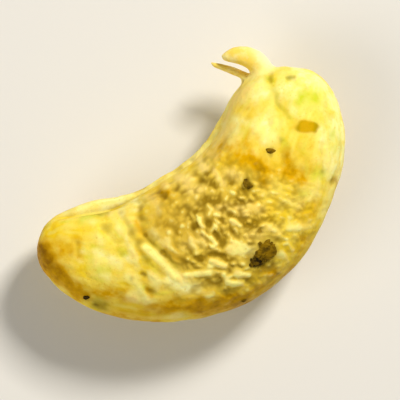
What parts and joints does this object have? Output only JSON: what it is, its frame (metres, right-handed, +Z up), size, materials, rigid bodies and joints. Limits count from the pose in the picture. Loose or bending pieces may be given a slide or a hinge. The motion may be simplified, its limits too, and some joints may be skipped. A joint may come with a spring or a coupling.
{
  "type": "cashew nut",
  "caption": "Whole cashew kernel, a bowed seed lying on its side, with a seam groove along its hollow, a wrinkled belly and the root nib still curling from its wider end.",
  "frame": {"origin": "bottom centre of the kernel's bounding box, nib included, on the surface that it rests on", "axes": "+X along the kernel from its narrow end to the end with the nib, +Y from the humped back towards the hollow of the bow, +Z up out of its upper face"},
  "size_m": [0.0268, 0.0178, 0.0103],
  "materials": {
    "kernel_skin": "satin, faintly oily, pale yellow toasted to gold in places"
  },
  "bodies": {
    "root": {"kernel": "kernel_skin"}
  },
  "joints": []
}
